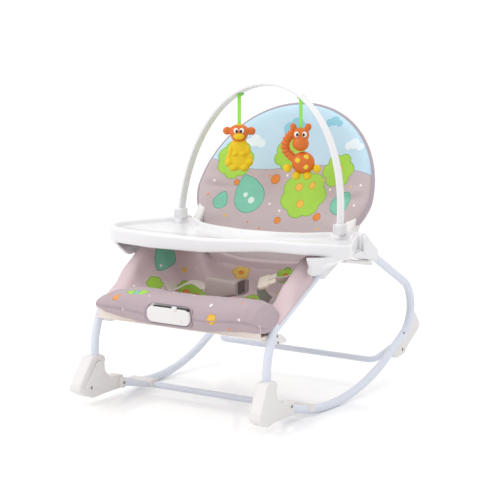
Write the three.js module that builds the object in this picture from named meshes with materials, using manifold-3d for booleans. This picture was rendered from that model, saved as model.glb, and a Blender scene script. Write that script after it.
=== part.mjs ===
import * as THREE from 'three';
import { mergeVertices } from 'three/addons/utils/BufferGeometryUtils.js';
import Module from 'manifold-3d';

const wasm = await Module();
wasm.setup();

// ---------------------------------------------------------------- sizes, mm
// X runs across the seat, Y to the back, Z up. The rockers touch the floor near Y = 0.
const GAP = 0.3;
const DEG = Math.PI / 180;

const TUBE_R = 8;
const TUBE_BORE = 6.8;
const BAR_R = 6;
const ROCKER_R = 420;
const ROCKER_LOW = [-3, 8];
const RAIL_FRONT_Y = -156.9;
const RAIL_REAR_Y = 194.2;
const ROCKER_FROM = -Math.asin((ROCKER_LOW[0] - RAIL_FRONT_Y) / ROCKER_R) / DEG;
const ROCKER_TO = Math.asin((RAIL_REAR_Y - ROCKER_LOW[0]) / ROCKER_R) / DEG;
const RAIL_RISE = 75;
const RAIL_BEND_R = 62;
const RAIL_TOP_HEADING = 150;
const RAIL_RETURN = 155;
const RAIL_X = { front: 195, rear: 206, hub: 203 };

const SEAT_TUBE_X = 192;
const SEAT_TUBE = [[-203, 52], [-204, 124, 110], [-183, 178, 35], [6, 277.7]];

const FOOT_X = [179, 205];
const FOOT_BOSS_X = 172;
const FOOT_TOE_Y = -205;
const FOOT_SPLAY = 0.17;
const BAR_CORNER = { x: 157, y: -72, z: 13.5, r: 14 };
const BAR_END = { x: 178, y: -140, z: 28 };
const CLIP_Y = [-82, -64];

const STOP_X = [193, 219];
const STAND_PIVOT = [266, 66];
const STAND_CORNER = { x: 180.5, y: 196, z: 52, r: 16 };

const HUB_X = [181, 216];
const HUB_COVER_T = 5.7;
const PIVOT = [97, 291];
const PIN_R = 5;

const BACK_TILT = Math.atan(0.55);
const BACK_ORIGIN = [149.1, 362];
const BOW_R = 186;
const BOW_LEG_X = 171;
const BOW_LEG_END = -57;
const BACK_R = 197;
const BACK_FOOT = -168;
const BACK_T = [-5, 15];
const BRACKET_X = [161, HUB_X[0] - GAP];

const TRAY_Z = [290, 318];
const TRAY_FLOOR = [303, 307];
const TRAY_SKIRT = 4;
const TRAY_RIM = 13;

const ARCH_X = 181;
const ARCH_Z = 320;
const ARCH_RISE = 260;
const ARCH_LEAN = Math.atan(0.16);
const ARCH_Y = 62;
const ARCH_T = 5;
const ARCH_W = 17;
const SOCKET = { x: [171, 191], y: [49, 77], z: [TRAY_Z[1] + GAP, 338] };

const WING_X = HUB_X[0] - 0.5;
const WING_RISE = 7;
const WING_GAP = 0.8;
const WING_TOP_Z = 277;
// Seat pad half width and upper surface: [y, half width, z].
const SEAT_HALF = [[-153, 164, 206], [-110, 150, 199], [-60, 122, 190], [-20, 105, 188], [49, 96, 198]];
const SEAT_LINE = (y) => 201 + 0.529 * (y + 122);
const APRON_X = 200;
const UNIT_X = 48;
const UNIT_Z = [176.5, 212.5];
const SLOT_Z = [204.5, 210];
const UNIT_Y = { front: -241, joint: -232, back: -203 - GAP };

const TOY_X = 70;
const STRAP_T = 2.2;
const LOOP_HALF_Z = 8.5;

// ---------------------------------------------------------------- materials
const finish = (color, roughness, metalness = 0) => () =>
  new THREE.MeshStandardMaterial({ color, roughness, metalness });
const POWDER = finish(0xdde3f0, 0.35, 0.2);
const WHITE = finish(0xf0eeef, 0.35);
const IVORY = finish(0xece8e0, 0.45);
const MAUVE = finish(0xcdbfc6, 0.9);
const TAUPE = finish(0xa3948f, 0.9);
const BEIGE = finish(0xe8ddd2, 0.8);
const LIME = finish(0x8ee84a, 0.6);
const ORANGE = finish(0xe0762e, 0.45);
const YELLOW = finish(0xe8c810, 0.45);

// ---------------------------------------------------------------- helpers
function signedVolume(geometry) {
  const p = geometry.attributes.position;
  const index = geometry.index;
  const [a, b, c] = [new THREE.Vector3(), new THREE.Vector3(), new THREE.Vector3()];
  let volume = 0;
  for (let i = 0; i < index.count; i += 3) {
    a.fromBufferAttribute(p, index.getX(i));
    b.fromBufferAttribute(p, index.getX(i + 1));
    c.fromBufferAttribute(p, index.getX(i + 2));
    volume += a.dot(b.cross(c)) / 6;
  }
  return volume;
}

function toSolid(geometry) {
  const bare = geometry.clone();
  bare.deleteAttribute('normal');
  bare.deleteAttribute('uv');
  const merged = mergeVertices(bare, 1e-3);
  const triangles = new Uint32Array(merged.index.array);
  if (signedVolume(merged) < 0) {
    for (let i = 0; i < triangles.length; i += 3) {
      [triangles[i], triangles[i + 1]] = [triangles[i + 1], triangles[i]];
    }
  }
  return new wasm.Manifold(new wasm.Mesh({
    numProp: 3,
    vertProperties: new Float32Array(merged.attributes.position.array),
    triVerts: triangles,
  }));
}

function toGeometry(solid) {
  const mesh = solid.getMesh();
  const geometry = new THREE.BufferGeometry();
  geometry.setAttribute('position', new THREE.BufferAttribute(new Float32Array(mesh.vertProperties), 3));
  geometry.setIndex(new THREE.BufferAttribute(new Uint32Array(mesh.triVerts), 1));
  geometry.computeVertexNormals();
  return geometry;
}

// A polyline in space whose corners carry a radius as their fourth number.
function bend(points, stepDeg = 10) {
  const out = [];
  points.forEach(([x, y, z, r], i) => {
    const here = new THREE.Vector3(x, y, z);
    if (!r) {
      out.push(here);
      return;
    }
    const u = new THREE.Vector3(...points[i - 1]).sub(here).normalize();
    const v = new THREE.Vector3(...points[i + 1]).sub(here).normalize();
    const open = u.angleTo(v);
    const turn = Math.PI - open;
    const centre = u.clone().add(v).normalize().multiplyScalar(r / Math.sin(open / 2)).add(here);
    const from = here.clone().addScaledVector(u, r / Math.tan(open / 2)).sub(centre);
    const to = here.clone().addScaledVector(v, r / Math.tan(open / 2)).sub(centre);
    const n = Math.max(1, Math.ceil(turn / (stepDeg * DEG)));
    for (let k = 0; k <= n; k += 1) {
      const t = k / n;
      const p = from.clone().multiplyScalar(Math.sin((1 - t) * turn) / Math.sin(turn));
      out.push(p.addScaledVector(to, Math.sin(t * turn) / Math.sin(turn)).add(centre));
    }
  });
  return out;
}

// The same for a closed flat outline: [a, b, radius] corners give Vector2 points.
function rounded(corners, stepDeg = 15) {
  const n = corners.length;
  const flat = corners.map(([a, b]) => [a, b, 0]);
  return corners.flatMap(([a, b, r], i) => {
    if (!r) return [new THREE.Vector2(a, b)];
    const [before, after] = [flat[(i + n - 1) % n], flat[(i + 1) % n]];
    return bend([before, [a, b, 0, r], after], stepDeg).slice(1, -1).map((p) => new THREE.Vector2(p.x, p.y));
  });
}

const circle = (a, b, r, sides = 20) => Array.from({ length: sides }, (_, i) =>
  new THREE.Vector2(a + r * Math.cos((2 * Math.PI * i) / sides), b + r * Math.sin((2 * Math.PI * i) / sides)));

class BentPath extends THREE.Curve {
  constructor(points) {
    super();
    this.points = points;
  }

  getSpacedPoints() {
    return this.points.map((p) => p.clone());
  }

  getTangentAt(u, target = new THREE.Vector3()) {
    const last = this.points.length - 1;
    const i = Math.round(u * last);
    const before = this.points[Math.max(i - 1, 0)];
    const after = this.points[Math.min(i + 1, last)];
    const here = this.points[i];
    target.set(0, 0, 0);
    if (i > 0) target.add(here.clone().sub(before).normalize());
    if (i < last) target.add(after.clone().sub(here).normalize());
    return target.normalize();
  }
}

function tube(points, radius, sides = 12, bore = 0) {
  const shape = new THREE.Shape(circle(0, 0, radius, sides));
  if (bore) shape.holes.push(new THREE.Path(circle(0, 0, bore, 8).reverse()));
  const extrudePath = new BentPath(points);
  return toSolid(new THREE.ExtrudeGeometry(shape, { steps: points.length - 1, extrudePath }));
}

// A flat outline pushed along one axis. The outline's two numbers follow the plane's name.
const PLANES = {
  yz: [[0, 1, 0], [0, 0, 1], [1, 0, 0]],
  xy: [[1, 0, 0], [0, 1, 0], [0, 0, 1]],
  zx: [[0, 0, 1], [1, 0, 0], [0, 1, 0]],
};
function plate(plane, outline, from, to, bevel = 0) {
  const shape = new THREE.Shape(outline);
  const depth = to - from - 2 * bevel;
  const geometry = new THREE.ExtrudeGeometry(shape, {
    depth,
    bevelEnabled: bevel > 0,
    bevelThickness: bevel,
    bevelSize: bevel,
    bevelOffset: -bevel,
    bevelSegments: 1,
  });
  geometry.translate(0, 0, from + bevel);
  const axes = PLANES[plane].map((a) => new THREE.Vector3(...a));
  geometry.applyMatrix4(new THREE.Matrix4().makeBasis(...axes));
  return toSolid(geometry);
}
// A closed body through rings of the same number of points.
function loft(rings) {
  const n = rings[0].length;
  const position = new Float32Array(rings.flat(2));
  const index = [];
  for (let i = 0; i + 1 < rings.length; i += 1) {
    for (let j = 0; j < n; j += 1) {
      const [a, b] = [i * n + j, i * n + ((j + 1) % n)];
      index.push(a, b, b + n, a, b + n, a + n);
    }
  }
  const last = (rings.length - 1) * n;
  for (let j = 1; j + 1 < n; j += 1) {
    index.push(0, j + 1, j);
    index.push(last, last + j, last + j + 1);
  }
  const geometry = new THREE.BufferGeometry();
  geometry.setAttribute('position', new THREE.BufferAttribute(position, 3));
  geometry.setIndex(index);
  return toSolid(geometry);
}
const block = (x, y, z) => plate('xy', [
  new THREE.Vector2(x[0], y[0]), new THREE.Vector2(x[1], y[0]),
  new THREE.Vector2(x[1], y[1]), new THREE.Vector2(x[0], y[1])], z[0], z[1]);

const group = new THREE.Group();
function add(name, solid, material) {
  const mesh = new THREE.Mesh(toGeometry(solid), material());
  mesh.name = name;
  group.add(mesh);
}
function addPair(name, solid, material) {
  add(`${name}_right`, solid, material);
  add(`${name}_left`, solid.mirror([1, 0, 0]), material);
}

// ---------------------------------------------------------------- rocker rails
function railPath() {
  const [y0, z0] = ROCKER_LOW;
  const path = [];
  const steps = 9;
  for (let i = 0; i <= steps; i += 1) {
    const a = (ROCKER_FROM + ((ROCKER_TO - ROCKER_FROM) * i) / steps) * DEG;
    path.push([y0 + ROCKER_R * Math.sin(a), z0 + ROCKER_R * (1 - Math.cos(a))]);
  }
  const [y1, z1] = path[steps];
  const a0 = ROCKER_TO * DEG;
  const [y2, z2] = [y1 + RAIL_RISE * Math.cos(a0), z1 + RAIL_RISE * Math.sin(a0)];
  const centre = [y2 - RAIL_BEND_R * Math.sin(a0), z2 + RAIL_BEND_R * Math.cos(a0)];
  const turns = 12;
  for (let i = 0; i <= turns; i += 1) {
    const a = (ROCKER_TO + ((RAIL_TOP_HEADING - ROCKER_TO) * i) / turns) * DEG;
    path.push([centre[0] + RAIL_BEND_R * Math.sin(a), centre[1] - RAIL_BEND_R * Math.cos(a)]);
  }
  const [y3, z3] = path[path.length - 1];
  const a1 = RAIL_TOP_HEADING * DEG;
  path.push([y3 + RAIL_RETURN * Math.cos(a1), z3 + RAIL_RETURN * Math.sin(a1)]);
  return path.map(([y, z], i) => {
    const rising = RAIL_X.front + ((RAIL_X.rear - RAIL_X.front) * (y - path[0][0])) / 339;
    const x = i === path.length - 1 ? RAIL_X.hub : Math.min(RAIL_X.rear, rising);
    return new THREE.Vector3(x, y, z);
  });
}
const railLine = railPath();
addPair('rail', tube(railLine, TUBE_R, 12, TUBE_BORE), POWDER);
const railBore = tube(railLine, TUBE_R + GAP);

// ---------------------------------------------------------------- seat tubes
const seatLine = bend(SEAT_TUBE.map(([y, z, r]) => [SEAT_TUBE_X, y, z, r]));
addPair('seat_tube', tube(seatLine, TUBE_R, 12, TUBE_BORE), POWDER);
const seatBore = tube(seatLine, TUBE_R + GAP);

// ---------------------------------------------------------------- front cross bar, clips, feet
const crossLine = bend([
  [BAR_END.x, BAR_END.y, BAR_END.z],
  [BAR_CORNER.x, BAR_CORNER.y, BAR_CORNER.z, BAR_CORNER.r],
  [-BAR_CORNER.x, BAR_CORNER.y, BAR_CORNER.z, BAR_CORNER.r],
  [-BAR_END.x, BAR_END.y, BAR_END.z]], 12);
add('front_cross_bar', tube(crossLine, BAR_R, 12), POWDER);
const crossBore = tube(crossLine, BAR_R + GAP, 12);

const clip = block([151, 199], CLIP_Y, [7, 25]);
addPair('rail_clip', clip.subtract(railBore).subtract(crossBore), IVORY);

const footOutline = rounded([
  [-222, 92, 5], [-191, 92, 4], [-187, 60, 12], [-172, 45, 10], [-131, 42, 3],
  [-131, 17, 3], [-196, 16, 20], [-221, 13, 12], [-240, 20, 12], [-257, 31, 5], [-253, 44, 6]]);
// The toes turn out to the sides in front of the legs.
const splay = (solid) => solid.warp((v) => {
  v[0] += Math.max(0, FOOT_TOE_Y - v[1]) * FOOT_SPLAY;
});
const foot = splay(plate('yz', footOutline, ...FOOT_X, 1.5))
  .add(plate('yz', circle(-186, 80, 7, 14), 186, 198))
  .add(plate('yz', circle(BAR_END.y, BAR_END.z, 10, 16), FOOT_BOSS_X, 190));
addPair('front_foot', foot.subtract(railBore).subtract(seatBore).subtract(crossBore), IVORY);
const footCover = rounded([
  [-212, 82, 4], [-197, 82, 4], [-193, 50, 6], [-203, 32, 6], [-238, 30, 5], [-244, 38, 4]]);
addPair('foot_cover', splay(plate('yz', footCover, FOOT_X[0] - 2.8, FOOT_X[0] - GAP)), IVORY);

// ---------------------------------------------------------------- rear stops and kickstand
const stopOutline = rounded([
  [221, 69, 5], [222, 56, 5], [240, 51, 8], [268, 55, 8], [284, 70, 6], [323, 94, 6], [329, 107, 5],
  [313, 127, 6], [300, 133, 4], [286, 130, 5], [262, 112, 8], [240, 90, 10]]);
const standLine = bend([
  [197, ...STAND_PIVOT], [STAND_CORNER.x, ...STAND_PIVOT, 9],
  [STAND_CORNER.x, STAND_CORNER.y, STAND_CORNER.z, STAND_CORNER.r],
  [-STAND_CORNER.x, STAND_CORNER.y, STAND_CORNER.z, STAND_CORNER.r],
  [-STAND_CORNER.x, ...STAND_PIVOT, 9], [-197, ...STAND_PIVOT]], 15);
const stop = plate('yz', stopOutline, ...STOP_X, 1.5)
  .subtract(plate('yz', circle(...STAND_PIVOT, BAR_R + GAP, 16), STOP_X[0] - 5, 199));
addPair('rear_stop', stop.subtract(railBore), IVORY);
add('kickstand', tube(standLine, BAR_R, 12), POWDER);

// ---------------------------------------------------------------- hubs
const pinHole = plate('yz', circle(...PIVOT, PIN_R + GAP, 16), 100, 230);
const hubOutline = rounded([
  [24, 279, 1.5], [24, 289.4, 1.5], [80.7, 289.4], [80.7, 322, 6], [97, 318, 14], [114, 302, 12], [138, 285, 8],
  [143, 268, 6], [136.5, 257.5, 4], [112, 266, 10], [56, 276, 10]]);
const collarOutline = rounded([[-26.4, 247, 2], [-37.6, 268.2, 3], [2.3, 289.4, 3], [30, 289.4], [30, 272]]);
const hub = plate('yz', hubOutline, ...HUB_X)
  .add(plate('yz', collarOutline, HUB_X[0], 201.4))
  .subtract(plate('yz', circle(...PIVOT, PIN_R + GAP, 16), 100, 212))
  .subtract(railBore)
  .subtract(seatBore);
addPair('hub_housing', hub, WHITE);
const coverOutline = rounded([
  [32, 281.5, 1.4], [32, 287, 1.4], [84, 287, 2], [84, 317, 5], [96, 315, 12], [112, 299, 10], [135.5, 283, 6],
  [139.5, 269, 5], [135, 261, 3], [112, 269, 8], [56, 278, 8]]);
const cover = plate('yz', coverOutline, HUB_X[1] + GAP, HUB_X[1] + HUB_COVER_T, 1.2)
  .subtract(plate('yz', circle(...PIVOT, 17, 24), HUB_X[1] + 3, 240));
addPair('hub_cover', cover, WHITE);
addPair('hub_cap', plate('yz', circle(...PIVOT, 15.5, 24), HUB_X[1] + 3 + GAP, HUB_X[1] + 7, 1), WHITE);
addPair('hub_pin', plate('yz', circle(...PIVOT, PIN_R, 14), BRACKET_X[0] - 3, 211.5), WHITE);
const leverOutline = rounded([
  [36, 277.5, 1.5], [35, 272, 2], [48, 265, 8], [104, 256, 10], [122, 250.5, 4], [132, 250, 3], [133, 255.5, 2],
  [112, 262.5, 8], [56, 273, 8]]);
addPair('recline_lever', plate('yz', leverOutline, 186, 212, 1), IVORY);

// ---------------------------------------------------------------- backrest
const leanBasis = (y, z, tilt) => new THREE.Matrix4().makeBasis(
  new THREE.Vector3(1, 0, 0),
  new THREE.Vector3(0, Math.sin(tilt), Math.cos(tilt)),
  new THREE.Vector3(0, -Math.cos(tilt), Math.sin(tilt))).setPosition(0, y, z);
const backFrame = leanBasis(...BACK_ORIGIN, BACK_TILT);
const arcPoints = (r, fromDeg, toDeg, n) => Array.from({ length: n + 1 }, (_, i) => {
  const a = (fromDeg + ((toDeg - fromDeg) * i) / n) * DEG;
  return [r * Math.cos(a), r * Math.sin(a)];
});
const bowFlat = [
  ...bend([[BOW_LEG_X, BOW_LEG_END, 0], [BOW_LEG_X, -22, 0, 25], [BOW_R, 12, 0, 30], [183.2, 32.3, 0]]).slice(0, -1),
  ...arcPoints(BOW_R, 10, 170, 18).map(([x, w]) => new THREE.Vector3(x, w, 0)),
  ...bend([[-183.2, 32.3, 0], [-BOW_R, 12, 0, 30], [-BOW_LEG_X, -22, 0, 25], [-BOW_LEG_X, BOW_LEG_END, 0]]).slice(1)];
const bowLine = bowFlat.map((p) => p.clone().applyMatrix4(backFrame));
add('back_tube', tube(bowLine, TUBE_R, 12, TUBE_BORE), POWDER);
const bowBore = tube(bowLine, TUBE_R + GAP);

const backHalf = [[BACK_R, -4, 6], [188, -20, 8], [159, -24, 5], [157, -84, 30], [122, -128, 40], [96, BACK_FOOT, 14]];
const backOutline = rounded([
  ...backHalf, ...backHalf.map(([x, w, r]) => [-x, w, r]).reverse(),
  ...arcPoints(BACK_R, 174, 6, 20)], 20);
const backPad = toSolid(new THREE.ExtrudeGeometry(new THREE.Shape(backOutline), {
  depth: BACK_T[1] - BACK_T[0] - 6,
  bevelThickness: 3,
  bevelSize: 3,
  bevelOffset: -3,
  bevelSegments: 1,
}).translate(0, 0, BACK_T[0] + 3).applyMatrix4(backFrame));
add('back_pad', backPad.subtract(bowBore), MAUVE);

const bracketOutline = rounded([
  [83, 282, 8], [94, 276, 8], [108, 278, 8], [121.6, 291.2, 8], [145.3, 334.4, 4], [127.8, 344, 4],
  [96, 308, 8], [84, 300, 8]]);
const bracket = plate('yz', bracketOutline, ...BRACKET_X, 1).subtract(bowBore).subtract(pinHole);
addPair('back_bracket', bracket, IVORY);

// ---------------------------------------------------------------- tray
function trayOutline(inset) {
  const half = [
    [0, 18 - inset], [70, 27 - inset, 60], [118, 46 - inset, 40], [150 + inset * 0.4, 79 - inset, 12],
    [210 - inset, 79 - inset, 6], [232 - inset, 22, 60], [254 - inset, -30, 60], [251 - inset, -72, 50],
    [220 - inset, -110 + inset, 40], [130, -124 + inset, 150], [0, -129 + inset]];
  const other = half.slice(1, -1).map(([x, y, r]) => [-x, y, r]).reverse();
  return rounded([...half, ...other], 18);
}
const tray = plate('xy', trayOutline(0), ...TRAY_Z, 2)
  .subtract(plate('xy', trayOutline(TRAY_RIM), TRAY_FLOOR[1], TRAY_Z[1] + 5))
  .subtract(plate('xy', trayOutline(TRAY_SKIRT), TRAY_Z[0] - 5, TRAY_FLOOR[0]));
add('tray', tray, WHITE);
const earOutline = rounded([
  [-103, 289.7, 3], [-80, 263, 6], [-52, 265, 8], [-26, 274, 8], [2, 284, 5], [10, 289.7]]);
addPair('tray_arm', plate('yz', earOutline, 202, 212, 1.5), WHITE);
const socketOutline = rounded([
  [SOCKET.x[0], SOCKET.y[0], 3], [SOCKET.x[1], SOCKET.y[0], 3],
  [SOCKET.x[1], SOCKET.y[1], 3], [SOCKET.x[0], SOCKET.y[1], 3]]);
let socket = plate('xy', socketOutline, ...SOCKET.z);

// ---------------------------------------------------------------- toy arch
const archFrame = leanBasis(ARCH_Y, ARCH_Z, ARCH_LEAN);
const archBand = (grow) => {
  const curve = (dx) => arcPoints(1, 0, 180, 28).map(([c, s]) => {
    const power = 2 / 2.06;
    const x = Math.sign(c) * (ARCH_X + dx) * Math.abs(c) ** power;
    return new THREE.Vector2(x, (ARCH_RISE + dx) * Math.abs(s) ** power + 4.5);
  });
  const half = ARCH_T / 2 + grow;
  const [outer, inner] = [curve(half), curve(-half).reverse()];
  const ends = [new THREE.Vector2(-ARCH_X + half, 4.3 - grow), new THREE.Vector2(-ARCH_X - half, 4.3 - grow)];
  const starts = ends.map((p) => new THREE.Vector2(-p.x, p.y));
  return [...outer, ends[1], ends[0], ...inner, starts[0], starts[1]];
};
const archSolid = (grow) => toSolid(new THREE.ExtrudeGeometry(new THREE.Shape(archBand(grow)), {
  depth: ARCH_W + 2 * grow,
  bevelEnabled: false,
}).translate(0, 0, -ARCH_W / 2 - grow).applyMatrix4(archFrame));
socket = socket.subtract(archSolid(2 * GAP));
for (const y of [54, 60.5, 67]) {
  socket = socket.subtract(block([SOCKET.x[1] - 1.2, SOCKET.x[1] + 5], [y, y + 3], [SOCKET.z[0] + 4, SOCKET.z[1] + 5]));
}
addPair('arch_socket', socket, WHITE);
add('toy_arch', archSolid(0), WHITE);

// ---------------------------------------------------------------- toys
const archZ = ARCH_Z + 4.5 + ARCH_RISE * Math.sqrt(1 - (TOY_X / ARCH_X) ** 2) * Math.cos(ARCH_LEAN);
const archY = ARCH_Y + (archZ - ARCH_Z) * Math.tan(ARCH_LEAN);
const toyPivotZ = archZ - LOOP_HALF_Z - GAP - STRAP_T / 2;
function toyLoop(x) {
  const outer = rounded([[archY - 11.5, archZ - LOOP_HALF_Z, 3], [archY + 11.5, archZ - LOOP_HALF_Z, 3],
    [archY + 11.5, archZ + LOOP_HALF_Z, 3], [archY - 11.5, archZ + LOOP_HALF_Z, 3]]);
  const inner = rounded([[archY - 10.3, archZ - 7.4, 2], [archY + 10.3, archZ - 7.4, 2],
    [archY + 10.3, archZ + 7.4, 2], [archY - 10.3, archZ + 7.4, 2]]);
  return plate('yz', outer, x - 3, x + 3).subtract(plate('yz', inner, x - 5, x + 5));
}
function toyStrap(x, low) {
  const half = STRAP_T / 2;
  const outline = rounded([[archY - half, low, 0], [archY + half, low, 0],
    [archY + half, toyPivotZ + half, 1], [archY - half, toyPivotZ + half, 1]], 45);
  return plate('yz', outline, x - 3.5, x + 3.5);
}
function ball(x, y, z, rx, ry, rz) {
  return toSolid(new THREE.SphereGeometry(1, 12, 8).rotateX(Math.PI / 2).scale(rx, ry, rz).translate(x, y, z));
}
add('strap_loop_right', toyLoop(TOY_X), LIME);
add('strap_loop_left', toyLoop(-TOY_X), LIME);
const toyY = archY;
const monkeyHead = ball(-TOY_X, toyY, 488, 22, 15, 19)
  .add(ball(-TOY_X - 24, toyY, 490, 8, 5, 9))
  .add(ball(-TOY_X + 24, toyY, 490, 8, 5, 9))
  .add(ball(-TOY_X, toyY - 12, 479, 13, 8, 10))
  .add(toyStrap(-TOY_X, 495));
add('monkey_head', monkeyHead, ORANGE);
const monkeyBody = ball(-TOY_X, toyY, 445, 27, 17, 27)
  .subtract(ball(-TOY_X, toyY, 488, 22.5, 15.5, 19.5))
  .subtract(ball(-TOY_X, toyY - 12, 479, 13.5, 8.5, 10.5));
add('monkey_body', monkeyBody, YELLOW);
const giraffeHead = ball(TOY_X, toyY, 484, 17, 14, 24)
  .add(ball(TOY_X - 13, toyY, 505, 5, 5, 9))
  .add(ball(TOY_X + 13, toyY, 505, 5, 5, 9))
  .add(toyStrap(TOY_X, 495));
add('giraffe_head', giraffeHead, ORANGE);
const giraffeBody = ball(TOY_X, toyY, 438, 27, 16, 26)
  .add(ball(TOY_X - 17, toyY, 414, 8, 10, 9))
  .add(ball(TOY_X + 17, toyY, 414, 8, 10, 9))
  .subtract(ball(TOY_X, toyY, 484, 17.5, 14.5, 24.5));
add('giraffe_body', giraffeBody, ORANGE);

// ---------------------------------------------------------------- seat
const seatProfile = rounded([
  [-156, 213, 5], [-154, 198, 5], [-100, 183, 60], [-30, 173, 80], [30, 176, 60], [52, 183, 5],
  [50, 199, 5], [30, 191, 60], [-30, 188, 80], [-98, 197, 60]], 20);
const seatPlan = rounded([
  [SEAT_HALF[0][1], SEAT_HALF[0][0]],
  ...SEAT_HALF.map(([y, x]) => [x, y]),
  ...SEAT_HALF.map(([y, x]) => [-x, y]).reverse()].slice(1));
const seatPad = plate('yz', seatProfile, -170, 170).intersect(plate('xy', seatPlan, 140, 240));
add('seat_pad', seatPad, MAUVE);
// Each side panel runs from the seat pad's edge up and out to the seat tube.
const wing = loft(SEAT_HALF.map(([y, x, padZ]) => {
  const top = Math.min(WING_TOP_Z, SEAT_LINE(y));
  const [foot, footZ] = [x + WING_GAP, padZ - 2];
  return [[foot, y, footZ], [foot, y, footZ - WING_RISE], [WING_X, y, top], [WING_X, y, top + WING_RISE]];
}));
addPair('side_wing', wing, MAUVE);
const apronProfile = rounded([
  [-213, 168.3, 4.5], [-227, 169, 5], [-235, 186, 14], [-229, 209, 18], [-198, 225, 30], [-160, 224, 6],
  [-160, 206, 5], [-180, 200, 20], [-206, 188, 14]], 20);
const apronPlan = rounded([
  [APRON_X - 1, -150, 3], [-APRON_X + 1, -150, 3], [-APRON_X - 1, -176, 12], [-194, -203, 22],
  [-158, -226, 60], [-70, -237, 100], [70, -237, 100], [158, -226, 60], [194, -203, 22], [APRON_X + 1, -176, 12]]);
const apron = plate('yz', apronProfile, -APRON_X, APRON_X, 2.5)
  .intersect(plate('xy', apronPlan, 140, 260))
  .subtract(block([-UNIT_X - GAP, UNIT_X + GAP], [-250, -203], [150, UNIT_Z[1] + GAP]));
add('front_apron', apron, MAUVE);
const boardProfile = rounded([
  [-222, 167.9, 2], [-224, 161, 3], [-212, 157, 5], [-160, 157, 5], [-156, 165, 3], [-170, 170, 5], [-205, 167.9]], 20);
const boardEnd = plate('yz', rounded([[-190, 149, 5], [-141, 149, 5], [-141, 169, 5], [-178, 175, 6]]), 168, 204)
  .subtract(seatBore);
add('front_bridge', plate('yz', boardProfile, -183.7, 183.7).add(boardEnd).add(boardEnd.mirror([1, 0, 0])), BEIGE);

// ---------------------------------------------------------------- vibration unit
const caseOutline = rounded([
  [-UNIT_X + 1, 177, 6], [UNIT_X - 1, 177, 6], [UNIT_X - 1, UNIT_Z[1], 6], [-UNIT_X + 1, UNIT_Z[1], 6]]);
const swap = (outline) => outline.map((p) => new THREE.Vector2(p.y, p.x));
add('unit_case', plate('zx', swap(caseOutline), UNIT_Y.joint + GAP, UNIT_Y.back), IVORY);
const faceOutline = rounded([
  [-UNIT_X, UNIT_Z[0], 10], [UNIT_X, UNIT_Z[0], 10], [UNIT_X, UNIT_Z[1], 9], [-UNIT_X, UNIT_Z[1], 9]]);
const slot = block([-15, 45], [UNIT_Y.front - 5, UNIT_Y.front + 4.5], SLOT_Z);
const button = { x: 31, z: 187, r: 4 };
const buttonHole = plate('zx', circle(button.z, button.x, button.r + GAP, 16), UNIT_Y.front - 5, UNIT_Y.front + 6);
const face = plate('zx', swap(faceOutline), UNIT_Y.front, UNIT_Y.joint, 2).subtract(slot).subtract(buttonHole);
add('unit_face', face, IVORY);
const slider = block([12, 22], [UNIT_Y.front - 2, UNIT_Y.front + 4.2], [SLOT_Z[0] + GAP, SLOT_Z[1] - GAP]);
add('mode_slider', slider, IVORY);
const buttonSolid = plate('zx', circle(button.z, button.x, button.r, 16), UNIT_Y.front - 1.2, UNIT_Y.front + 4);
add('power_button', buttonSolid, IVORY);

// ---------------------------------------------------------------- harness
add('crotch_strap', block([8, 78], [-128, -116], [205.7, 240]), TAUPE);
add('buckle', block([96, 126], [-112, -88], [201.2, 211]), IVORY);
const belt = rounded([
  [-110, 203.6, 1], [-110, 200.6, 1], [-60, 193.6, 8], [-20, 190.1, 1], [-20, 193.1, 1], [-60, 196.6, 8]], 30);
addPair('waist_belt', plate('yz', belt, 68, 93), BEIGE);

// ---------------------------------------------------------------- stand on the floor, centred
const box = new THREE.Box3().setFromObject(group);
const centre = box.getCenter(new THREE.Vector3());
for (const mesh of group.children) {
  mesh.geometry.translate(-centre.x, -centre.y, -box.min.z);
}
export default group;
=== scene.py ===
import bpy
import bmesh
from math import atan, copysign, cos, exp, pi, radians, sin, sqrt, tan
from mathutils import Vector, Matrix, noise


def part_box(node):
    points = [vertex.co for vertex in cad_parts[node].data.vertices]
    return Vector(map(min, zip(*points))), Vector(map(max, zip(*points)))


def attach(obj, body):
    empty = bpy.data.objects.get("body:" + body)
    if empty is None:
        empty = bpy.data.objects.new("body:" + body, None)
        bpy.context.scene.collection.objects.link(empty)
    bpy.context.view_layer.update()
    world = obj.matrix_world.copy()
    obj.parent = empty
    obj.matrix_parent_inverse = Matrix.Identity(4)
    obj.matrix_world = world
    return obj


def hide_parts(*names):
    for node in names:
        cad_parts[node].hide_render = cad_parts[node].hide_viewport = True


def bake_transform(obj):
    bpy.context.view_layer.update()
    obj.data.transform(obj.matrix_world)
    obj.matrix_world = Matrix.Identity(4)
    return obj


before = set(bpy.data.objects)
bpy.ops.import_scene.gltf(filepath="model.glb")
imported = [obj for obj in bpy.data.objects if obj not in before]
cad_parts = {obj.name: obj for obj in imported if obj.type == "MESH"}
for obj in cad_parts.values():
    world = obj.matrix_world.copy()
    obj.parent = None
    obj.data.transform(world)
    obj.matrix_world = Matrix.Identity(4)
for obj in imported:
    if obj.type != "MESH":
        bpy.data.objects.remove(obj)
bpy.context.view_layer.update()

# ------------ frame and helpers
# Shapes are worked out in mm, with X across the seat, Y to the back and Z up from the floor.
# The middle of the right hub cap, known here and in the frame, carries them over.
MM = 0.001
TAU = 2 * pi
CAP_Y, CAP_Z = 97.0, 291.0
cap_low, cap_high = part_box("hub_cap_right")
cap_y, cap_z = ((cap_low[k] + cap_high[k]) / 2 for k in (1, 2))
SHIFT = Vector((0.0, cap_y - CAP_Y * MM, cap_z - CAP_Z * MM))
TO_FRAME = Matrix.Translation(SHIFT) @ Matrix.Scale(MM, 4)
# Points closer than this, in mm, are merged.
MERGE = 0.01


def new_object(name, data):
    obj = bpy.data.objects.new(name, data)
    bpy.context.scene.collection.objects.link(obj)
    return obj


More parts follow.
